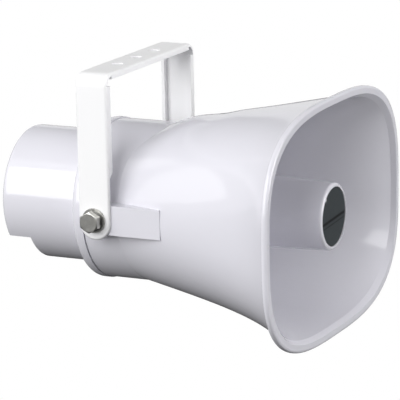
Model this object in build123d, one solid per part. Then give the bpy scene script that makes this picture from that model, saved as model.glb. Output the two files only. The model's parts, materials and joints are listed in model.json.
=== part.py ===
from build123d import *
import math
import os

# Re-entrant public-address horn on a pressed steel bracket. Millimetres.
# Origin: centre of the bracket's upper outer face, which goes against the wall or ceiling.
# +X is the way the horn points, +Z is up, and the tilt axis runs along Y.

# Bracket
bracket_width = 20.0
bracket_sheet = 2.0
bracket_bend_radius = 7.5       # outer radius of the two big bends
pivot_drop = 86.0               # upper face to tilt axis
leg_end_drop = 2.0              # tilt axis to the centre of a leg's round end
leg_flange_depth = 5.5          # turned-in edge of a leg, from the leg's outer face
top_flange_depth = 3.8          # turned-down edge of the upper plate, from its outer face
flange_end_above_pivot = 24.7
flange_edge_radius = 1.6
fixing_hole_radius = 3.5
fixing_hole_spacing = 24.0
fixing_hole_count = 3

# Bell, measured from the tilt axis, which crosses the horn's own axis
shell_wall = 2.7
neck_radius = 47.7
neck_back = 13.0
mouth_reach = 127.5
mouth_half_width = 99.2
mouth_half_height = 71.1
mouth_squareness = 3.05         # exponent of the outline, 2 is an ellipse
rim_length = 3.7
rim_rounding = 1.6
rim_overlap = 0.4               # length of flare inside the rim
rim_side_overhang = 3.1         # rim past the outside of the flare's end
rim_top_overhang = 3.6
lip_width = 4.5                 # front of the rim, from its outside to the opening
flare_start = 7.7
flare_start_side_step = 0.5     # start of the flare inside the neck's outside, at the sides
flare_start_top_step = 1.3
flare_start_squareness = 2.02
flare_end_squareness = 2.92
straight_share = 0.6            # part of the sideways growth that is straight
side_curve = 4.14               # power of the rest, which opens near the mouth
height_bow = 0.1                # how much the height bulges over a straight line
corner_curve = 2.85             # power with which the outline grows squarer
roof_dip = 3.2                  # how far the roof starts below the law of the flare
roof_dip_fade = 8               # higher keeps the dip nearer to the top
shoulder_start = 18.0
shoulder_length = 14.0
bore_reach = 22.0               # how far forward the round bore of the neck goes

# Side bosses and what turns in them
boss_rise = 8.3                 # its flat face past the round neck
boss_height = 17.5
boss_length = 41.2
boss_to_leg = 0.2
insert_radius = 5.0
insert_floor = 2.0              # wall left between an insert and the neck's bore
bolt_radius = 3.175
bolt_tip_gap = 0.8              # bolt's end to the bottom of its insert
bolt_tip_chamfer = 0.5
bolt_head_flats = 11.1
bolt_head_height = 4.3
head_face_share = 0.95          # round face of a hexagon head over its flats
head_chamfer_angle = 30.0
head_turn = 30.0                # degrees that put a corner at the top
pivot_clearance = 0.08
thread_clearance = 0.05
insert_clearance = 0.05
flat_washer_radius = 7.2
flat_washer_thickness = 1.4
spring_washer_radius = 6.0
spring_washer_thickness = 1.6
spring_washer_slot = 1.2
spring_washer_slant = 30.0      # degrees that its slot leans
washer_clearance = 0.2
washer_gap = 0.1

# Rear cover
gasket_thickness = 0.6
gasket_setback = 0.6
collar_step = 0.6               # collar past the outside of the neck
collar_length = 7.5
collar_rounding = 4.0
collar_ledge = 8.6              # collar's outside to the cap's outside
cap_wall = 2.5
cap_rounding = 3.0
cap_to_strap = 0.85             # cap's inner face to the transformer's strap

# Ring and screws between bell and cover
seat_ring_gap = 1.2             # ring's bore past the driver's plate
seat_ring_thickness = 7.0
cover_screw_radius = 2.0
cover_screw_head_radius = 3.1
cover_screw_head_height = 2.4
cover_screw_length = 11.0
counterbore_depth = 2.8
cover_screw_count = 3
cover_screw_angle = 30.0        # degrees above the horizontal, the third screw is lowest
screw_clearance = 0.3
slot_depth_share = 0.5          # depth of a cross slot over the head's height

# Folded horn inside the neck
base_plate = 4.0
base_front = 16.0
base_clearance = 0.3
bowl_inset = 5.0                # funnel's edge to the widest of the bowl
bowl_bend_share = 0.35          # where along the bowl its curve turns outward
funnel_edge = 1.2
tube_root_wall = 3.6
tube_end_wall = 1.8
tube_root_radius = 12.6
tube_end_radius = 11.8
tube_end_gap = 18.0             # tube end to the inner face of the bullet's front
tube_flange_radius = 20.0
tube_flange = 3.0
tube_rib_thickness = 2.0
tube_rib_count = 3
tube_rib_start = 20.0
rib_fit = 0.05

# Bullet and badge
bullet_setback = 1.4            # front of the bullet behind the mouth
bullet_front_radius = 19.7
bullet_lip_radius = 29.0
bullet_lip_x = 12.0
bullet_draft = 2.4              # degrees, over the front part
bullet_straight = 40.0
bullet_wall = 2.2
bullet_front_wall = 2.6
bullet_rounding = 1.8
badge_edge = 2.2                # bullet's edge round the badge
badge_thickness = 0.8
badge_recess = 1.4
badge_gap = 0.1
badge_key_radius = 1.1
badge_key_angle = 135.0         # degrees from the right as seen from the front, so upper left

# Compression driver
driver_to_cap = 0.4             # driver's plates to the cap's bore
driver_plate = 8.0
chamber_depth = 5.0
chamber_waist_depth = 0.8       # share of the depth half way in
chamber_waist_radius = 0.6
dome_height = 3.6
dome_wall = 0.4
surround_wall = 0.6
clamp_thickness = 1.0
clamp_to_screws = 4.6
clamp_width = 6.0
surround_width = 7.0            # dome's foot to the clamp
coil_wall = 0.6
coil_length = 6.4
coil_outer_gap = 0.5            # coil to the top plate
coil_inner_gap = 0.55           # coil to the pole
pole_vent = 3.0
top_plate = 5.0
magnet_to_screws = 1.5          # magnet to the heads of the driver's screws
magnet_bore_step = 3.5          # magnet's bore past the coil's gap
magnet_length = 12.0
magnet_chamfer = 0.5
yoke_plate = 5.0
driver_screw_inset = 4.2        # from the plates' edge
driver_screw_radius = 2.0
driver_screw_head = 3.1
driver_screw_head_height = 2.4
driver_screw_count = 4
driver_screw_angle = 45.0
driver_screw_length = 20.0
plug_radius = 5.2
plug_waist = 0.8                # share of the radius half way along
plug_arm = 1.6
plug_arm_count = 3
tag_strip_width = 14.0
tag_strip_height = 3.3
tag_strip_thickness = 2.0
tag_strip_to_magnet = 1.65
tag_length = 4.0
tag_width = 3.2
tag_thickness = 1.6

# Line transformer and its terminal block
core_width = 28.0
core_height = 23.4
core_stack = 12.0
core_leg = 7.0
core_rise = 5.0                 # its middle above the horn axis
core_clearance = 0.05
winding_side = 5.0
winding_rounding = 2.5
strap_thickness = 1.0
strap_width = 8.5
strap_foot = 8.0
foot_screw_radius = 1.5
foot_screw_head = 2.7
foot_screw_head_height = 1.5
foot_screw_length = 5.0
block_length = 20.0
block_height = 8.0
block_depth = 7.5
block_gap = 1.0
block_rounding = 0.6
block_way_radius = 1.6

# Cable gland under the chin
gland_below_chin = 8.1          # its axis under the flat of the chin
gland_to_yoke = 5.3             # thread's end to the driver
gland_nut_to_cap = 1.4          # lock nut's flat to the cap's bore
gland_thread_radius = 5.0
gland_thread_past_nut = 1.2
gland_hex_flats = 14.0
gland_hex_height = 4.0
gland_spigot = 4.5
gland_nut_length = 9.0
gland_nut_radius = 6.6
gland_nut_rounding = 2.2
gland_passage = 3.0             # through body and nut
gland_seal_bore = 2.4
gland_seal_radius = 3.8
gland_lock_flats = 13.0
gland_lock_height = 3.0
gland_clearance = 0.1

upright = 90.0                  # puts the first of several ribs at the top
overcut = 2.0                   # how far a cut runs past the face it ends at

# Places that follow from the sizes above
neck_bore = neck_radius - shell_wall
boss_face = neck_radius + boss_rise
leg_inner = boss_face + boss_to_leg
bracket_half_span = leg_inner + bracket_sheet
flare_start_half_width = neck_radius - flare_start_side_step
flare_start_half_height = neck_radius - flare_start_top_step
flare_end = mouth_reach - rim_length + rim_overlap
flare_end_half_width = mouth_half_width - rim_side_overhang
flare_end_half_height = mouth_half_height - rim_top_overhang
collar_radius = neck_radius + collar_step
cap_radius = collar_radius - collar_ledge
bowl_outer_radius = neck_bore - base_clearance - funnel_edge - bowl_inset
neck_rear = -neck_back
base_back = neck_rear + seat_ring_thickness
cover_front = neck_rear - gasket_thickness
collar_rear = cover_front - collar_length
cap_bore = cap_radius - cap_wall
screw_circle = (cap_radius + neck_radius) / 2
driver_plate_radius = cap_bore - driver_to_cap
seat_ring_bore = driver_plate_radius + seat_ring_gap
bore_throat = tube_root_radius - tube_root_wall
bore_end = tube_end_radius - tube_end_wall
badge_radius = bullet_front_radius - badge_edge
bullet_front = mouth_reach - bullet_setback
badge_seat = bullet_front - badge_recess
bullet_inner_front = badge_seat - bullet_front_wall
tube_end = bullet_inner_front - tube_end_gap
driver_plate_rear = cover_front - driver_plate
top_plate_front = driver_plate_rear - clamp_thickness
top_plate_rear = top_plate_front - top_plate
magnet_rear = top_plate_rear - magnet_length
yoke_rear = magnet_rear - yoke_plate
driver_screw_circle = driver_plate_radius - driver_screw_inset
magnet_radius = driver_screw_circle - driver_screw_head - magnet_to_screws
clamp_radius = driver_screw_circle - driver_screw_radius - clamp_to_screws
chamber_radius = clamp_radius - clamp_width
dome_radius = chamber_radius - surround_width
gap_radius = dome_radius + coil_outer_gap
pole_radius = dome_radius - coil_wall - coil_inner_gap
magnet_bore = gap_radius + magnet_bore_step
tag_strip_rise = magnet_radius + tag_strip_to_magnet + tag_strip_height / 2
strap_rear = yoke_rear - core_height - core_clearance - strap_thickness
cap_reach = cap_wall + cap_to_strap - strap_rear
gland_thread_front = yoke_rear - gland_to_yoke
chin_reach = gland_thread_past_nut + gland_lock_height + cap_wall - gland_thread_front
foot_hole_y = core_width / 2 + strap_thickness + strap_foot / 2
core_window = core_width / 2 - core_leg
gland_z = gland_nut_to_cap + gland_lock_flats / 2 - cap_bore
chin_drop = -gland_z - gland_below_chin
gland_hex_rear = -chin_reach - gland_hex_height
gland_spigot_rear = gland_hex_rear - gland_spigot
leg_end = pivot_drop + leg_end_drop
flat_washer_face = bracket_half_span + washer_gap
spring_washer_face = flat_washer_face + flat_washer_thickness
head_seat = spring_washer_face + spring_washer_thickness
insert_length = boss_face - neck_bore - insert_floor
bolt_length = head_seat - boss_face + insert_length - bolt_tip_gap


def ring(x_front, x_back, outer, inner=0.0):
    """A plain ring or disc round the X axis."""
    length = x_front - x_back
    disc = Plane.YZ.offset(x_back) * Circle(outer)
    if inner > 0:
        disc -= Plane.YZ.offset(x_back) * Circle(inner)
    return extrude(disc, length)


def turned(outline):
    """Turns a closed outline in the XY plane round the X axis."""
    return revolve(make_face(outline), Axis.X, 360)


def around(count, shape, start=0.0):
    """Copies of a shape evenly round the X axis."""
    return [Rot(start + 360 / count * i, 0, 0) * shape for i in range(count)]


def both_sides(shape):
    return shape + mirror(shape, Plane.XZ)


def along_y(shape):
    """Stands a shape built along +Z on the +Y side."""
    return Rot(-90, 0, 0) * shape


# Bell

def superellipse(x, half_width, half_height, squareness, dip=0.0, steps=32):
    """Face across X whose outline is a superellipse; dip lowers its top."""
    points = []
    for i in range(steps):
        angle = 2 * math.pi * i / steps
        across, up = math.cos(angle), math.sin(angle)
        y = half_width * math.copysign(abs(across) ** (2 / squareness), across)
        z = half_height * math.copysign(abs(up) ** (2 / squareness), up)
        z -= dip * max(up, 0) ** roof_dip_fade
        points.append((x, y, z))
    return make_face(Spline(points, periodic=True))


def flare_section(x, inset):
    """Face of the flare at x, inset from its outer wall."""
    share = (x - flare_start) / (flare_end - flare_start)
    side = straight_share * share + (1 - straight_share) * share ** side_curve
    rise = share + height_bow * share * (1 - share)
    half_width = flare_start_half_width + (flare_end_half_width - flare_start_half_width) * side
    half_height = flare_start_half_height + (
        flare_end_half_height - flare_start_half_height) * rise
    squareness = flare_start_squareness + (
        flare_end_squareness - flare_start_squareness) * share ** corner_curve
    past = min(max((x - shoulder_start) / shoulder_length, 0), 1)
    dip = roof_dip * (1 - past * past * (3 - 2 * past))
    return superellipse(x, half_width - inset, half_height - inset, squareness, dip)


def flare_body(inset):
    shares = [0, 0.09, 0.15, 0.215, 0.32, 0.46, 0.6, 0.73, 0.85, 0.94, 1]
    places = [flare_start + (flare_end - flare_start) * share for share in shares]
    return loft([flare_section(x, inset) for x in places])


def mouth_outline(x, inset):
    return superellipse(x, mouth_half_width - inset, mouth_half_height - inset, mouth_squareness)


def rim():
    """Rounded bead round the mouth."""
    bead = extrude(mouth_outline(mouth_reach - rim_length, 0), rim_length)
    return fillet(bead.edges(), rim_rounding)


def lip_cut():
    """Opens the mouth through the rim, from the wall's inner face."""
    return loft([flare_section(flare_end, shell_wall), mouth_outline(mouth_reach, lip_width)])


def boss():
    """Flat-faced pad on the +Y side of the neck that takes the pivot bolt."""
    outline = Pos(boss_length / 2, 0) * Rectangle(boss_length, boss_height)
    outline += Circle(boss_height / 2)
    return extrude(Plane.XZ * outline, -boss_face)


def insert_bore():
    bore = Cylinder(insert_radius, insert_length, align=(Align.CENTER, Align.CENTER, Align.MAX))
    return Pos(0, boss_face, 0) * along_y(bore)


def bell():
    """Neck, flare, rim and side bosses, one moulding."""
    shell = ring(shoulder_start + shoulder_length, neck_rear, neck_radius)
    shell += flare_body(0)
    shell += both_sides(boss())
    shell += rim()
    shell -= ring(bore_reach, base_back, neck_bore)
    shell -= flare_body(shell_wall)
    shell -= lip_cut()
    shell -= ring(base_back, neck_rear, seat_ring_bore)
    pilot = Pos(0, screw_circle, 0) * ring(base_back - screw_clearance, neck_rear,
                                           cover_screw_radius)
    for hole in around(cover_screw_count, pilot, cover_screw_angle):
        shell -= hole
    return shell - both_sides(insert_bore())


# Pieces of the folded horn

def horn_base():
    """Round moulding that turns the sound forward at the root of the neck."""
    flange_seat = neck_rear + tube_flange
    hole = tube_root_radius + base_clearance
    rim_radius = neck_bore - base_clearance
    bowl = base_back + base_plate
    with BuildLine() as outline:
        Polyline((flange_seat, hole), (flange_seat, tube_flange_radius + base_clearance),
                 (neck_rear, tube_flange_radius + base_clearance),
                 (neck_rear, seat_ring_bore - base_clearance),
                 (base_back, seat_ring_bore - base_clearance),
                 (base_back, rim_radius), (base_front, rim_radius),
                 (base_front, rim_radius - funnel_edge))
        Spline((base_front, rim_radius - funnel_edge),
               (bowl + (base_front - bowl) * bowl_bend_share, bowl_outer_radius),
               (bowl, (bowl_outer_radius + hole) / 2),
               (bowl + base_plate, hole + funnel_edge))
        Polyline((bowl + base_plate, hole + funnel_edge), (bowl + base_plate, hole),
                 (flange_seat, hole))
    body = turned(outline.line)
    hole_front = top_plate_rear + driver_screw_length + screw_clearance
    pilot = Pos(0, driver_screw_circle, 0) * ring(hole_front, neck_rear, driver_screw_radius)
    for drilled in around(driver_screw_count, pilot, driver_screw_angle):
        body -= drilled
    return body


def bullet_radius(x):
    """Outer radius of the bullet: a slight draft, then a curve out to the rear lip."""
    drafted = bullet_front_radius + (bullet_front - x) * math.tan(math.radians(bullet_draft))
    back = (bullet_front - bullet_straight - x) / (bullet_front - bullet_straight - bullet_lip_x)
    if back <= 0:
        return drafted
    lip_drafted = bullet_front_radius + (bullet_front - bullet_lip_x) * math.tan(
        math.radians(bullet_draft))
    return drafted + (bullet_lip_radius - lip_drafted) * back ** 2


def bullet_curve(front, inset):
    places = [front + (bullet_lip_x - front) * share for share in (0, 0.15, 0.3, 0.5, 0.75, 1)]
    return [(x, bullet_radius(x) - inset) for x in places]


def solid_bullet(front, inset):
    curve = bullet_curve(front, inset)
    with BuildLine() as outline:
        Spline(curve)
        Polyline(curve[-1], (bullet_lip_x, 0), (front, 0), curve[0])
    return turned(outline.line)


def badge_prism(radius, key, thickness):
    """Disc with a notch in its edge, on the seat of the badge."""
    outline = Circle(radius) - Rot(0, 0, badge_key_angle) * Pos(radius, 0) * Circle(key)
    return extrude(Plane.YZ.offset(badge_seat) * outline, thickness)


def reflector():
    """Closed-front cup that throws the sound back, with a seat for the badge."""
    cup = solid_bullet(bullet_front, 0)
    front_edge = cup.edges().filter_by(GeomType.CIRCLE).sort_by(Axis.X)[-1]
    cup = fillet(front_edge, bullet_rounding)
    cup -= solid_bullet(bullet_inner_front, bullet_wall)
    cup -= badge_prism(badge_radius, badge_key_radius, badge_recess)
    return cup


def badge_disc():
    return badge_prism(badge_radius - badge_gap, badge_key_radius + badge_gap, badge_thickness)


def throat_tube():
    """Tube that carries the sound forward, with the ribs that hold the bullet."""
    with BuildLine() as outline:
        Polyline((neck_rear, bore_throat), (neck_rear, tube_flange_radius),
                 (neck_rear + tube_flange, tube_flange_radius),
                 (neck_rear + tube_flange, tube_root_radius),
                 (tube_end, tube_end_radius), (tube_end, bore_end), close=True)
    tube = turned(outline.line)
    core = solid_bullet(bullet_inner_front - tube_end_gap / 2, bullet_wall + rib_fit)
    length = tube_end - tube_rib_start
    rib = Pos(tube_rib_start + length / 2, (bore_end + tube_end_radius) / 2, 0) * Box(
        length, bullet_lip_radius, tube_rib_thickness,
        align=(Align.CENTER, Align.MIN, Align.CENTER))
    for one in around(tube_rib_count, rib, upright):
        tube += one & core
    return tube


# Rear cover and what clamps it

def chin_box(grow):
    """Space cut away under the chin, or with grow the keep-out of the cavity."""
    size = cap_radius * 2
    front = -chin_reach + grow
    top = -chin_drop + grow
    return Pos(front, 0, top) * Box(size, size * 2, size,
                                    align=(Align.MAX, Align.CENTER, Align.MAX))


def rear_cover():
    """Cap with its collar, the chin cut and the hole for the cable gland."""
    body = ring(cover_front, -cap_reach, cap_radius)
    body = fillet(body.edges().sort_by(Axis.X)[0], cap_rounding)
    collar = ring(cover_front, collar_rear, collar_radius)
    collar = fillet(collar.edges().sort_by(Axis.X)[0], collar_rounding)
    body += collar
    body -= chin_box(0)
    cavity = ring(cover_front, -cap_reach + cap_wall, cap_bore) - chin_box(cap_wall)
    body -= cavity
    seat = collar_rear + counterbore_depth
    drill = ring(cover_front, collar_rear, cover_screw_radius + screw_clearance)
    drill += ring(seat, collar_rear, cover_screw_head_radius + screw_clearance)
    for hole in around(cover_screw_count, Pos(0, screw_circle, 0) * drill, cover_screw_angle):
        body -= hole
    gland_hole = Pos(0, 0, gland_z) * ring(-chin_reach + cap_wall, -chin_reach,
                                           gland_thread_radius + gland_clearance)
    return body - gland_hole


def cover_gasket():
    body = ring(neck_rear, cover_front, neck_radius - gasket_setback, seat_ring_bore)
    drill = Pos(0, screw_circle, 0) * ring(neck_rear, cover_front,
                                           cover_screw_radius + screw_clearance)
    for hole in around(cover_screw_count, drill, cover_screw_angle):
        body -= hole
    return body


def pan_screw(radius, head_radius, head_height, length):
    """Pan-head screw along X, its seat at the origin and its tip ahead."""
    shank = ring(length, 0, radius)
    shank = chamfer(shank.edges().sort_by(Axis.X)[-1], radius / 3)
    head = ring(0, -head_height, head_radius)
    head = fillet(head.edges().sort_by(Axis.X)[0], head_height / 2)
    slot = Box(head_height, radius / 2, head_radius, align=(Align.MIN, Align.CENTER, Align.CENTER))
    cross = slot + Rot(90, 0, 0) * slot
    return shank + head - Pos(head_height * (slot_depth_share - 2), 0, 0) * cross


def cover_screws():
    seat = collar_rear + counterbore_depth
    screw = Pos(seat, screw_circle, 0) * pan_screw(
        cover_screw_radius - thread_clearance, cover_screw_head_radius,
        cover_screw_head_height, cover_screw_length)
    return around(cover_screw_count, screw, cover_screw_angle)


# Cable gland

def gland_hexagon(flats, height, back):
    """Hexagon prism across X, from back forward by height."""
    outline = RegularPolygon(flats / 2, 6, major_radius=False)
    return extrude(Plane.YZ.offset(back) * outline, height)


def gland_body():
    """Hexagon outside the wall, thread through it and spigot behind it."""
    body = ring(gland_thread_front, gland_spigot_rear, gland_thread_radius)
    body += gland_hexagon(gland_hex_flats, gland_hex_height, gland_hex_rear)
    body -= ring(gland_hex_rear, gland_spigot_rear, gland_seal_radius)
    body -= ring(gland_thread_front, gland_hex_rear, gland_passage)
    return Pos(0, 0, gland_z) * body


def gland_seal():
    """Rubber sleeve that the nut squeezes on the cable."""
    body = ring(gland_hex_rear, gland_spigot_rear, gland_seal_radius - gland_clearance,
                gland_seal_bore)
    return Pos(0, 0, gland_z) * body


def gland_nut():
    """Domed nut over the seal."""
    body = ring(gland_hex_rear, gland_hex_rear - gland_nut_length, gland_nut_radius)
    body = fillet(body.edges().sort_by(Axis.X)[0], gland_nut_rounding)
    body -= ring(gland_hex_rear, gland_spigot_rear, gland_thread_radius + gland_clearance)
    body -= ring(gland_hex_rear, gland_hex_rear - gland_nut_length, gland_passage)
    return Pos(0, 0, gland_z) * body


def gland_lock_nut():
    back = -chin_reach + cap_wall
    body = gland_hexagon(gland_lock_flats, gland_lock_height, back)
    body -= ring(back + gland_lock_height, back, gland_thread_radius + gland_clearance)
    return Pos(0, 0, gland_z) * body


# Compression driver

def screw_holes(front, back, circle, radius):
    drill = Pos(0, circle, 0) * ring(front, back, radius)
    return around(driver_screw_count, drill, driver_screw_angle)


def throat_gasket():
    body = ring(neck_rear, cover_front, driver_plate_radius, bore_throat)
    for hole in screw_holes(neck_rear, cover_front, driver_screw_circle,
                            driver_screw_radius + screw_clearance):
        body -= hole
    return body


def driver_front_plate():
    """Cast plate with the throat hole and the chamber over the dome."""
    body = ring(cover_front, driver_plate_rear, driver_plate_radius, bore_throat)
    with BuildLine() as outline:
        ThreePointArc((driver_plate_rear, chamber_radius),
                      (driver_plate_rear + chamber_depth * chamber_waist_depth,
                       chamber_radius * chamber_waist_radius),
                      (driver_plate_rear + chamber_depth, 0))
        Polyline((driver_plate_rear + chamber_depth, 0), (driver_plate_rear, 0),
                 (driver_plate_rear, chamber_radius))
    body -= turned(outline.line)
    for hole in screw_holes(cover_front, driver_plate_rear, driver_screw_circle,
                            driver_screw_radius + screw_clearance):
        body -= hole
    return body


def phase_plug():
    """Small bullet on three arms in the throat hole."""
    front = cover_front
    back = driver_plate_rear + chamber_depth
    length = front - back
    with BuildLine() as outline:
        Spline((front, 0), (front - length / 2, plug_radius * plug_waist), (back, plug_radius))
        Polyline((back, plug_radius), (back, 0), (front, 0))
    body = turned(outline.line)
    arm = Pos(back, 0, 0) * Box(length / 2, bore_throat, plug_arm,
                                align=(Align.MIN, Align.MIN, Align.CENTER))
    sleeve = ring(front, back, bore_throat - rib_fit)
    for one in around(plug_arm_count, arm, upright):
        body += one & sleeve
    return body


def cap_middle(apex, height, radius):
    """Point half way out on a spherical cap that stands on a circle of the radius given."""
    sphere = (radius ** 2 + height ** 2) / (2 * height)
    return apex - sphere + math.sqrt(sphere ** 2 - radius ** 2 / 4), radius / 2


def diaphragm():
    """Domed diaphragm with its flat surround and clamping ring."""
    foot = driver_plate_rear - surround_wall
    apex = driver_plate_rear + dome_height
    inner_apex = apex - dome_wall
    inner_radius = dome_radius - dome_wall
    with BuildLine() as outline:
        ThreePointArc((driver_plate_rear, dome_radius),
                      cap_middle(apex, dome_height, dome_radius), (apex, 0))
        Line((apex, 0), (inner_apex, 0))
        ThreePointArc((inner_apex, 0), cap_middle(inner_apex, inner_apex - foot, inner_radius),
                      (foot, inner_radius))
        Polyline((foot, inner_radius), (foot, chamber_radius),
                 (top_plate_front, chamber_radius), (top_plate_front, clamp_radius),
                 (driver_plate_rear, clamp_radius), (driver_plate_rear, dome_radius))
    return turned(outline.line)


def voice_coil():
    front = driver_plate_rear - surround_wall
    return ring(front, front - coil_length, dome_radius, dome_radius - coil_wall)


def magnet_top_plate():
    body = ring(top_plate_front, top_plate_rear, driver_plate_radius, gap_radius)
    for hole in screw_holes(top_plate_front, top_plate_rear, driver_screw_circle,
                            driver_screw_radius + screw_clearance):
        body -= hole
    return body


def ring_magnet():
    body = ring(top_plate_rear, magnet_rear, magnet_radius, magnet_bore)
    return chamfer(body.edges().filter_by(GeomType.CIRCLE), magnet_chamfer)


def pole_yoke():
    """Rear plate with the pole that stands inside the voice coil."""
    body = ring(magnet_rear, yoke_rear, magnet_radius)
    body += ring(top_plate_front, yoke_rear, pole_radius)
    body -= ring(top_plate_front, yoke_rear, pole_vent)
    depth = foot_screw_length - strap_thickness + screw_clearance
    hole = Pos(0, foot_hole_y, core_rise) * ring(yoke_rear + depth, yoke_rear,
                                                 foot_screw_radius)
    return body - both_sides(hole)


def driver_screws():
    screw = Pos(top_plate_rear, driver_screw_circle, 0) * pan_screw(
        driver_screw_radius - thread_clearance, driver_screw_head,
        driver_screw_head_height, driver_screw_length)
    return around(driver_screw_count, screw, driver_screw_angle)


def driver_terminal_strip():
    """Insulating strip with the two solder tags of the coil."""
    strip = Box(tag_strip_thickness, tag_strip_width, tag_strip_height,
                align=(Align.MAX, Align.CENTER, Align.CENTER))
    tag = Pos(-tag_strip_thickness, tag_strip_width / 4, 0) * Box(
        tag_length, tag_thickness, tag_width, align=(Align.MAX, Align.CENTER, Align.CENTER))
    return Pos(top_plate_rear, 0, tag_strip_rise) * (strip + both_sides(tag))


# Line transformer

def at_yoke(shape):
    """Moves a shape to the transformer's place on the rear of the yoke."""
    return Pos(yoke_rear, 0, core_rise) * shape


def transformer_core():
    """Stacked steel core with its three legs."""
    body = Box(core_height, core_width, core_stack,
               align=(Align.MAX, Align.CENTER, Align.CENTER))
    window = Pos(-core_height / 2, (core_leg + core_window) / 2, 0) * Box(
        core_height - core_leg, core_window, core_stack)
    return at_yoke(body - both_sides(window))


def transformer_coil():
    """Bobbin with its winding, round the middle leg."""
    gap = 2 * core_clearance
    length = core_height - core_leg - gap
    winding = Box(length, core_leg + 2 * core_window - gap, core_stack + 2 * winding_side)
    winding = fillet(winding.edges().filter_by(Axis.X), winding_rounding)
    winding -= Box(length, core_leg + gap, core_stack + gap)
    return at_yoke(Pos(-core_height / 2, 0, 0) * winding)


def transformer_frame():
    """Steel strap over the core, with two feet on the yoke."""
    half = core_width / 2 + core_clearance
    depth = core_height + core_clearance
    rear_middle = (Align.MAX, Align.CENTER, Align.CENTER)
    strap = Box(depth + strap_thickness, 2 * (half + strap_thickness), strap_width,
                align=rear_middle)
    strap -= Box(depth, 2 * half, strap_width, align=rear_middle)
    foot = Pos(0, half, 0) * Box(strap_thickness, strap_thickness + strap_foot, strap_width,
                                 align=(Align.MAX, Align.MIN, Align.CENTER))
    foot -= Pos(0, foot_hole_y, 0) * ring(0, -strap_thickness,
                                          foot_screw_radius + screw_clearance)
    return at_yoke(strap + both_sides(foot))


def transformer_screws():
    screw = Pos(-strap_thickness, foot_hole_y, 0) * pan_screw(
        foot_screw_radius - thread_clearance, foot_screw_head, foot_screw_head_height,
        foot_screw_length)
    return [at_yoke(screw), at_yoke(mirror(screw, Plane.XZ))]


def terminal_block():
    """Two-way block for the line cable, above the transformer."""
    z = core_stack / 2 + winding_side + block_gap
    body = Pos(0, 0, z) * Box(block_depth, block_length, block_height,
                              align=(Align.MAX, Align.CENTER, Align.MIN))
    body = fillet(body.edges().filter_by(Axis.Y).group_by(Axis.X)[0], block_rounding)
    way = Cylinder(block_way_radius, block_height)
    well = ring(0, -block_depth / 2, block_way_radius)
    middle = Pos(-block_depth / 2, block_length / 4, z + block_height / 2)
    return at_yoke(body - both_sides(middle * (way + well)))


# Pivot pieces

def threaded_insert():
    body = Cylinder(insert_radius - insert_clearance, insert_length,
                    align=(Align.CENTER, Align.CENTER, Align.MAX))
    body -= Cylinder(bolt_radius + thread_clearance, insert_length,
                     align=(Align.CENTER, Align.CENTER, Align.MAX))
    return Pos(0, boss_face, 0) * along_y(body)


def hexagon_head(flats, height):
    """Hexagon with its corners up and down and the usual chamfered face."""
    blank = extrude(RegularPolygon(flats / 2, 6, major_radius=False, rotation=head_turn), height)
    corner = flats / math.sqrt(3)
    face = flats / 2 * head_face_share
    drop = (corner - face) * math.tan(math.radians(head_chamfer_angle))
    cone = Cylinder(corner, height - drop, align=(Align.CENTER, Align.CENTER, Align.MIN))
    cone += Pos(0, 0, height - drop) * Cone(corner, face, drop,
                                            align=(Align.CENTER, Align.CENTER, Align.MIN))
    return blank & cone


def pivot_bolt():
    shank = Cylinder(bolt_radius, bolt_length, align=(Align.CENTER, Align.CENTER, Align.MAX))
    shank = chamfer(shank.edges().sort_by(Axis.Z)[0], bolt_tip_chamfer)
    bolt = hexagon_head(bolt_head_flats, bolt_head_height) + shank
    return Pos(0, head_seat, 0) * along_y(bolt)


def washer(radius, thickness, place):
    """Plain ring on the bolt on the +Y side, its inner face at place."""
    body = Cylinder(radius, thickness, align=(Align.CENTER, Align.CENTER, Align.MIN))
    body -= Cylinder(bolt_radius + washer_clearance, thickness,
                     align=(Align.CENTER, Align.CENTER, Align.MIN))
    return Pos(0, place, 0) * along_y(body)


def flat_washer():
    return washer(flat_washer_radius, flat_washer_thickness, flat_washer_face)


def spring_washer():
    """Split ring under the bolt head."""
    body = washer(spring_washer_radius, spring_washer_thickness, spring_washer_face)
    slot = Box(spring_washer_slot, spring_washer_thickness + 2 * overcut, spring_washer_radius,
               align=(Align.CENTER, Align.CENTER, Align.MIN))
    middle = spring_washer_face + spring_washer_thickness / 2
    return body - Pos(0, middle, 0) * Rot(0, 0, spring_washer_slant) * slot


# Bracket

def bracket_outline(inset, radius):
    """Face across X of the U, seen along X, closed below the legs."""
    length = leg_end + bracket_width / 2 - inset
    shape = Pos(0, -inset - length / 2) * Rectangle(2 * (bracket_half_span - inset), length)
    return fillet(shape.vertices().group_by(Axis.Y)[-1], radius)


def leg_flange(side_x):
    """Turned-in edge of the leg on the +Y side, chamfered at its lower end."""
    low = -pivot_drop + flange_end_above_pivot
    high = -bracket_bend_radius
    inner = bracket_half_span - leg_flange_depth
    depth = leg_inner - inner
    with BuildLine() as outline:
        Polyline((bracket_half_span, low), (leg_inner, low), (inner, low + depth),
                 (inner, high), (bracket_half_span, high), close=True)
    edge = extrude(Plane.YZ * make_face(outline.line), bracket_sheet)
    start = bracket_width / 2 - bracket_sheet if side_x > 0 else -bracket_width / 2
    return Pos(start, 0, 0) * edge


def top_flange(side_x):
    span = 2 * (bracket_half_span - bracket_bend_radius)
    place = side_x * (bracket_width - bracket_sheet) / 2
    return Pos(place, 0, 0) * Box(bracket_sheet, span, top_flange_depth,
                                  align=(Align.CENTER, Align.CENTER, Align.MAX))


def leg_side_view():
    """What the legs keep, seen along Y: a strip with a round lower end."""
    strip = Pos(0, -leg_end / 2) * Rectangle(bracket_width, leg_end)
    strip += Pos(0, -leg_end) * Circle(bracket_width / 2)
    return extrude(Plane.XZ * strip, bracket_half_span, both=True)


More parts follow.
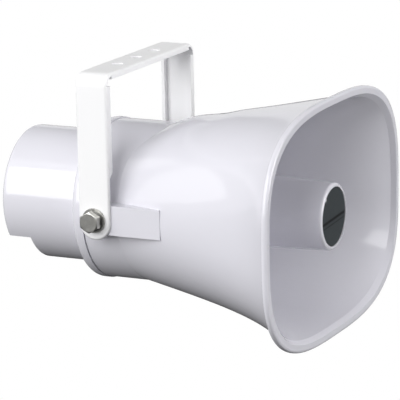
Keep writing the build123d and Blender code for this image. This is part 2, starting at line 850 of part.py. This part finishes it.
def bracket():
    """U of folded sheet with turned edges, three fixing holes and two pivot holes."""
    outer = bracket_outline(0, bracket_bend_radius)
    inner = bracket_outline(bracket_sheet, bracket_bend_radius - bracket_sheet)
    strap = extrude(Plane.YZ * (outer - inner), bracket_width / 2, both=True)
    body = strap & leg_side_view()
    for side_x in (-1, 1):
        body += top_flange(side_x)
        body += both_sides(leg_flange(side_x))
    long_edges = body.edges().filter_by(Axis.Y).group_by(Axis.Z)[-1]
    body = fillet(long_edges, flange_edge_radius)
    for i in range(fixing_hole_count):
        y = (i - (fixing_hole_count - 1) / 2) * fixing_hole_spacing
        body -= Pos(0, y, 0) * Cylinder(fixing_hole_radius, 2 * (bracket_sheet + overcut))
    pivot_hole = Cylinder(bolt_radius + pivot_clearance, 2 * bracket_half_span + overcut)
    body -= Pos(0, 0, -pivot_drop) * Rot(90, 0, 0) * pivot_hole
    return body


horn_pieces = {
    "bell": bell, "horn_base": horn_base, "throat_tube": throat_tube,
    "reflector": reflector, "badge_disc": badge_disc,
    "throat_gasket": throat_gasket, "driver_front_plate": driver_front_plate,
    "phase_plug": phase_plug, "diaphragm": diaphragm, "voice_coil": voice_coil,
    "magnet_top_plate": magnet_top_plate, "ring_magnet": ring_magnet,
    "pole_yoke": pole_yoke, "driver_screws": driver_screws,
    "driver_terminal_strip": driver_terminal_strip,
    "transformer_core": transformer_core, "transformer_coil": transformer_coil,
    "transformer_frame": transformer_frame, "transformer_screws": transformer_screws,
    "terminal_block": terminal_block, "rear_cover": rear_cover,
    "cover_gasket": cover_gasket, "cover_screws": cover_screws,
    "gland_body": gland_body, "gland_seal": gland_seal, "gland_nut": gland_nut,
    "gland_lock_nut": gland_lock_nut,
}
paired_pieces = {
    "threaded_inserts": threaded_insert, "pivot_bolts": pivot_bolt,
    "spring_washers": spring_washer, "flat_washers": flat_washer,
}


def keep(name, shapes, drop):
    """Writes one node: the solids of its shapes, each lowered by drop."""
    solids = [Pos(0, 0, -drop) * solid for shape in shapes for solid in shape.solids()]
    whole = solids[0] if len(solids) == 1 else Compound(solids)
    export_step(whole, "parts/" + name + ".step")


os.makedirs("parts", exist_ok=True)
keep("bracket", [bracket()], 0)
for name, make in horn_pieces.items():
    made = make()
    keep(name, made if isinstance(made, list) else [made], pivot_drop)
for name, make in paired_pieces.items():
    one = make()
    keep(name, [one, mirror(one, Plane.XZ)], pivot_drop)
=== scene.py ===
"""Looks of a white re-entrant horn loudspeaker on its folded bracket. Metres, +Z up."""

import json
import math

import bpy
from mathutils import Matrix, Vector


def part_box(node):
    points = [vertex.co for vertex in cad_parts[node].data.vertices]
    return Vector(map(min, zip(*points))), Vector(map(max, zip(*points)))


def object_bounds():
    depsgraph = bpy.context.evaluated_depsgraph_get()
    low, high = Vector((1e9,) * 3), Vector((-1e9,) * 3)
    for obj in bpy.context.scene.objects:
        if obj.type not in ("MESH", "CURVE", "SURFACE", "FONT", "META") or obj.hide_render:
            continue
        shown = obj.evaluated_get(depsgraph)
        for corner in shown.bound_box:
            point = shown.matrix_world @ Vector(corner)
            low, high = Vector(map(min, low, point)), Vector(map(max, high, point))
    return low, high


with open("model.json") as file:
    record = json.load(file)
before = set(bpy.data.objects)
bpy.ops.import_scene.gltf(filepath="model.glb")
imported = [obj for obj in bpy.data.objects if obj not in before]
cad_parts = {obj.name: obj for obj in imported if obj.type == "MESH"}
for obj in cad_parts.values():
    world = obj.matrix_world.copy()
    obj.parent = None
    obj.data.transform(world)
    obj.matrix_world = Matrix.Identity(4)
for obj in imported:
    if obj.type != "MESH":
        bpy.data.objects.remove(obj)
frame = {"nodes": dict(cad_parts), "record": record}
cad_low, cad_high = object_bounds()

# Camera, fitted to the photograph: degrees, metres, and millimetres for lens and sensor
VIEW_AZIMUTH = 25.88
VIEW_ELEVATION = 13.35
VIEW_ROLL = -1.16
VIEW_DISTANCE = 1.54
VIEW_TARGET = Vector((0.04009, 0.0, -0.08346))
LENS = 234.4
SENSOR = 36.0
CLIP_START = 0.05
CLIP_END = 50.0

# Studio
FLOOR_DROP = 0.30               # floor below the lowest point of the horn
FLOOR_SIZE = 12.0
FLOOR_GREY = 0.07
SKY_ABOVE = 0.24                # brightness straight up, level and straight down
SKY_LEVEL = 0.40
SKY_BELOW = 0.02
LIT_POINT = Vector((0.02, 0, -0.09))    # faced by every softbox

# Lines on the badge, their heights and half widths as shares of its radius
LINE_HEIGHT = -0.08
LINE_HALF = 0.045
HAIRLINE_HEIGHT = -0.24
HAIRLINE_HALF = 0.014
LINE_TILT = 3.0                 # degrees, higher on the far side
LINE_COLOUR = (0.012, 0.012, 0.014)

# Materials
COAT_ROUGHNESS = 0.08
COLOUR_DETAIL = 4.0
ROUGHNESS_DETAIL = 3.0
GRAIN_DETAIL = 2.0

# Places worked out from the frame
badge_low, badge_high = (Vector(corner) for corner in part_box("badge_disc"))
badge_middle = (badge_low + badge_high) / 2
badge_radius = (badge_high.y - badge_low.y) / 2


class Surface:
    """A material whose colour, roughness and bump vary with fine procedural noise."""

    def __init__(self, name, colour, roughness, metallic=0.0, coat=0.0):
        self.material = bpy.data.materials.new(name)
        self.material.use_nodes = True
        self.nodes = self.material.node_tree.nodes
        self.links = self.material.node_tree.links
        self.shader = self.nodes["Principled BSDF"]
        self.place = self.nodes.new("ShaderNodeTexCoord").outputs["Object"]
        self.colour = colour
        self.shader.inputs["Base Color"].default_value = (*colour, 1)
        self.shader.inputs["Roughness"].default_value = roughness
        self.shader.inputs["Metallic"].default_value = metallic
        self.shader.inputs["Coat Weight"].default_value = coat
        self.shader.inputs["Coat Roughness"].default_value = COAT_ROUGHNESS
        self.roughness = roughness

    def noise(self, scale, detail, stretch=(1, 1, 1)):
        """Noise with a scale per metre, longer along the axes with a small stretch."""
        mapping = self.nodes.new("ShaderNodeMapping")
        mapping.inputs["Scale"].default_value = stretch
        self.links.new(self.place, mapping.inputs["Vector"])
        texture = self.nodes.new("ShaderNodeTexNoise")
        texture.inputs["Scale"].default_value = scale
        texture.inputs["Detail"].default_value = detail
        self.links.new(mapping.outputs["Vector"], texture.inputs["Vector"])
        return texture.outputs["Fac"]

    def vary_colour(self, scale, other, stretch=(1, 1, 1)):
        """Blends the colour with another one and returns the blend."""
        mix = self.nodes.new("ShaderNodeMix")
        mix.data_type = "RGBA"
        mix.inputs["A"].default_value = (*self.colour, 1)
        mix.inputs["B"].default_value = (*other, 1)
        self.links.new(self.noise(scale, COLOUR_DETAIL, stretch), mix.inputs["Factor"])
        self.links.new(mix.outputs["Result"], self.shader.inputs["Base Color"])
        return mix.outputs["Result"]

    def vary_roughness(self, scale, spread):
        """Lets the roughness range a spread to either side."""
        spans = self.nodes.new("ShaderNodeMapRange")
        spans.inputs["To Min"].default_value = self.roughness - spread
        spans.inputs["To Max"].default_value = self.roughness + spread
        self.links.new(self.noise(scale, ROUGHNESS_DETAIL), spans.inputs["Value"])
        self.links.new(spans.outputs["Result"], self.shader.inputs["Roughness"])

    def grain(self, scale, depth, stretch=(1, 1, 1)):
        """Bump of a depth in metres."""
        bump = self.nodes.new("ShaderNodeBump")
        bump.inputs["Strength"].default_value = 1.0
        bump.inputs["Distance"].default_value = depth
        self.links.new(self.noise(scale, GRAIN_DETAIL, stretch), bump.inputs["Height"])
        self.links.new(bump.outputs["Normal"], self.shader.inputs["Normal"])


def glossy_white():
    """Injection-moulded plastic: gloss with a slight orange peel."""
    look = Surface("glossy_white", (0.72, 0.714, 0.768), 0.10, coat=0.1)
    look.vary_colour(9, (0.705, 0.70, 0.754))
    look.vary_roughness(22, 0.025)
    look.grain(230, 0.00002)
    return look.material


def powder_white():
    """Satin powder coat over folded steel."""
    look = Surface("powder_white", (0.89, 0.89, 0.895), 0.40)
    look.vary_colour(12, (0.87, 0.87, 0.88))
    look.vary_roughness(160, 0.05)
    look.grain(1500, 0.00003)
    return look.material


def plain_moulding(name, colour):
    """Matt moulding or pressing with a fine grain."""
    look = Surface(name, colour, 0.5)
    look.vary_colour(40, tuple(c * 0.9 for c in colour))
    look.vary_roughness(300, 0.06)
    look.grain(1800, 0.00003)
    return look.material


def black_rubber():
    """Dull elastic joint."""
    look = Surface("black_rubber", (0.022, 0.022, 0.023), 0.62)
    look.vary_colour(90, (0.035, 0.035, 0.036))
    look.grain(1400, 0.00004)
    return look.material


def plated_steel(name, colour):
    """Zinc-plated steel with fine turning marks and cloudy plating."""
    look = Surface(name, colour, 0.36, metallic=1.0)
    look.vary_colour(420, tuple(c * 0.62 for c in colour))
    look.vary_roughness(650, 0.10)
    look.grain(1300, 0.00002, stretch=(1, 0.2, 1))
    return look.material


def soft_metal(name, colour, roughness):
    """Brass or cast alloy with cloudy tarnish."""
    look = Surface(name, colour, roughness, metallic=1.0)
    look.vary_colour(260, tuple(c * 0.85 for c in colour))
    look.vary_roughness(500, 0.08)
    look.grain(1100, 0.00003)
    return look.material


def stacked_sheet():
    """Edges of the transformer's laminations."""
    look = Surface("stacked_sheet", (0.16, 0.16, 0.165), 0.45, metallic=1.0)
    look.vary_colour(900, (0.08, 0.08, 0.085), stretch=(0.02, 0.02, 1))
    look.grain(900, 0.00008, stretch=(0.02, 0.02, 1))
    return look.material


def wound(name, colour):
    """Turns of wire or tape round the X axis."""
    look = Surface(name, colour, 0.38)
    look.vary_colour(1400, tuple(c * 0.6 for c in colour), stretch=(1, 0.04, 0.04))
    look.grain(1400, 0.00008, stretch=(1, 0.04, 0.04))
    return look.material


def band(look, height, half):
    """1 inside a band across the badge, 0 outside it."""
    tilt = math.radians(LINE_TILT)
    rise = look.nodes.new("ShaderNodeVectorMath")
    rise.operation = "DOT_PRODUCT"
    rise.inputs[1].default_value = (0, -math.sin(tilt), math.cos(tilt))
    look.links.new(look.place, rise.inputs[0])
    away = look.nodes.new("ShaderNodeMath")
    away.operation = "COMPARE"
    away.inputs[1].default_value = badge_middle.z * math.cos(tilt) + height * badge_radius
    away.inputs[2].default_value = half * badge_radius
    look.links.new(rise.outputs["Value"], away.inputs[0])
    return away.outputs["Value"]


def badge_grey():
    """Grey plate with one dark line and a thinner one under it."""
    look = Surface("badge_grey", (0.052, 0.059, 0.063), 0.42)
    look.shader.inputs["Specular IOR Level"].default_value = 0.15
    plate = look.vary_colour(500, (0.043, 0.050, 0.054))
    for height, half in ((LINE_HEIGHT, LINE_HALF), (HAIRLINE_HEIGHT, HAIRLINE_HALF)):
        mix = look.nodes.new("ShaderNodeMix")
        mix.data_type = "RGBA"
        look.links.new(band(look, height, half), mix.inputs["Factor"])
        look.links.new(plate, mix.inputs["A"])
        mix.inputs["B"].default_value = (*LINE_COLOUR, 1)
        plate = mix.outputs["Result"]
    look.links.new(plate, look.shader.inputs["Base Color"])
    look.grain(1200, 0.00001)
    return look.material


def dress_nodes():
    """Gives each node of the frame the material of its slot, or its own colour: a pale seal, and
    darkened steel on the spring washers as painted shade under the bolt heads.
    """
    materials = {
        "powder_coat": powder_white(),
        "white_shell": glossy_white(),
        "inner_plastic": plain_moulding("inner_plastic", (0.30, 0.30, 0.33)),
        "grey_plastic": plain_moulding("grey_plastic", (0.42, 0.425, 0.43)),
        "badge_grey": badge_grey(),
        "black_rubber": black_rubber(),
        "zinc_steel": plated_steel("zinc_steel", (0.60, 0.595, 0.565)),
        "brass_insert": soft_metal("brass_insert", (0.62, 0.44, 0.16), 0.30),
        "cast_alloy": soft_metal("cast_alloy", (0.50, 0.51, 0.52), 0.42),
        "ferrite": plain_moulding("ferrite", (0.05, 0.05, 0.055)),
        "dome_film": plain_moulding("dome_film", (0.36, 0.20, 0.06)),
        "winding_wire": wound("winding_wire", (0.45, 0.16, 0.06)),
        "winding_tape": wound("winding_tape", (0.55, 0.40, 0.08)),
        "lamination": stacked_sheet(),
    }
    own_colours_and_painted_shade = {
        # Spring washers darkened as painted shade in the gap between bolt head and flat washer
        "spring_washers": plated_steel("painted_shade_steel", (0.22, 0.22, 0.215)),
        "cover_gasket": plain_moulding("pale_seal", (0.34, 0.34, 0.36)),
    }
    for part in frame["record"]["subparts"]:
        node = part["node"]
        mesh = frame["nodes"][node].data
        mesh.materials.clear()
        mesh.materials.append(own_colours_and_painted_shade.get(node, materials[part["material_slot"]]))


def only_for_camera(nodes, links, seen, unseen, output_kind):
    """Ends a node tree in two closures: one that the camera sees, one that lights the object."""
    path = nodes.new("ShaderNodeLightPath")
    mix = nodes.new("ShaderNodeMixShader")
    output = nodes.new(output_kind)
    links.new(path.outputs["Is Camera Ray"], mix.inputs["Fac"])
    links.new(unseen.outputs[0], mix.inputs[1])
    links.new(seen.outputs[0], mix.inputs[2])
    links.new(mix.outputs["Shader"], output.inputs["Surface"])


def floor():
    """Plain floor, white to the camera and dark grey in the horn's reflections."""
    low = cad_low.z - FLOOR_DROP
    half = FLOOR_SIZE / 2
    mesh = bpy.data.meshes.new("studio_floor")
    corners = [(-half, -half, low), (half, -half, low), (half, half, low), (-half, half, low)]
    mesh.from_pydata(corners, [], [(0, 1, 2, 3)])
    ground = bpy.data.objects.new("studio_floor", mesh)
    bpy.context.scene.collection.objects.link(ground)
    paint = bpy.data.materials.new("studio_paint")
    paint.use_nodes = True
    nodes, links = paint.node_tree.nodes, paint.node_tree.links
    nodes.clear()
    seen = nodes.new("ShaderNodeEmission")
    unseen = nodes.new("ShaderNodeBsdfDiffuse")
    unseen.inputs["Color"].default_value = (FLOOR_GREY, FLOOR_GREY, FLOOR_GREY, 1)
    only_for_camera(nodes, links, seen, unseen, "ShaderNodeOutputMaterial")
    mesh.materials.append(paint)


def sky():
    """White room seen by the camera, shaded from floor to ceiling for the object."""
    world = bpy.data.worlds.new("studio_sky")
    bpy.context.scene.world = world
    world.use_nodes = True
    nodes, links = world.node_tree.nodes, world.node_tree.links
    nodes.clear()
    place = nodes.new("ShaderNodeTexCoord")
    split = nodes.new("ShaderNodeSeparateXYZ")
    ramp = nodes.new("ShaderNodeValToRGB")
    rise = nodes.new("ShaderNodeMath")
    rise.operation = "MULTIPLY_ADD"
    rise.inputs[1].default_value = 0.5
    rise.inputs[2].default_value = 0.5
    links.new(place.outputs["Generated"], split.inputs["Vector"])
    links.new(split.outputs["Z"], rise.inputs[0])
    links.new(rise.outputs["Value"], ramp.inputs["Fac"])
    ramp.color_ramp.elements[0].color = (SKY_BELOW, SKY_BELOW, SKY_BELOW, 1)
    ramp.color_ramp.elements[1].color = (SKY_ABOVE, SKY_ABOVE, SKY_ABOVE, 1)
    middle = ramp.color_ramp.elements.new(0.5)
    middle.color = (SKY_LEVEL, SKY_LEVEL, SKY_LEVEL, 1)
    seen = nodes.new("ShaderNodeBackground")
    seen.inputs["Color"].default_value = (1, 1, 1, 1)
    unseen = nodes.new("ShaderNodeBackground")
    links.new(ramp.outputs["Color"], unseen.inputs["Color"])
    only_for_camera(nodes, links, seen, unseen, "ShaderNodeOutputWorld")


def softbox(name, place, width, height, power):
    """Rectangular area light, in metres and watts."""
    data = bpy.data.lights.new(name, "AREA")
    data.shape = "RECTANGLE"
    data.size = width
    data.size_y = height
    data.energy = power
    lamp = bpy.data.objects.new(name, data)
    bpy.context.scene.collection.objects.link(lamp)
    lamp.location = Vector(place)
    lamp.rotation_mode = "QUATERNION"
    lamp.rotation_quaternion = (LIT_POINT - lamp.location).to_track_quat("-Z", "Y")


def lights():
    """A large key left of the camera, weaker panels round the horn and a card behind it."""
    softbox("key", (-0.49, -2.41, 1.01), 2.4, 2.2, 72)
    softbox("side_left", (-1.96, -1.24, 1.26), 2.2, 2.2, 18)
    softbox("top", (0.30, -0.20, 1.90), 1.0, 1.0, 1)
    softbox("right_card", (1.37, -0.36, 0.40), 0.45, 0.45, 1.9)
    softbox("mouth_fill", (1.50, 0.50, 0.25), 0.9, 0.9, 16)
    softbox("back_card", (-0.93, 1.92, 0.25), 2.2, 0.7, 2.4)


def camera():
    """Looks at the horn from the place where the photograph was taken."""
    azimuth = math.radians(VIEW_AZIMUTH)
    elevation = math.radians(VIEW_ELEVATION)
    roll = math.radians(VIEW_ROLL)
    right = Vector((math.cos(azimuth), math.sin(azimuth), 0))
    back = Vector((math.sin(azimuth) * math.cos(elevation),
                   -math.cos(azimuth) * math.cos(elevation), math.sin(elevation)))
    up = back.cross(right)
    across = right * math.cos(roll) + up * math.sin(roll)
    above = up * math.cos(roll) - right * math.sin(roll)
    turn = Matrix((across, above, back)).transposed()
    data = bpy.data.cameras.new("photo_camera")
    data.lens = LENS
    data.sensor_width = SENSOR
    data.clip_start = CLIP_START
    data.clip_end = CLIP_END
    viewer = bpy.data.objects.new("photo_camera", data)
    bpy.context.scene.collection.objects.link(viewer)
    viewer.rotation_mode = "QUATERNION"
    viewer.rotation_quaternion = turn.to_quaternion()
    viewer.location = VIEW_TARGET + back * VIEW_DISTANCE
    bpy.context.scene.camera = viewer


dress_nodes()
floor()
sky()
lights()
camera()
bpy.context.scene.view_settings.view_transform = "Standard"
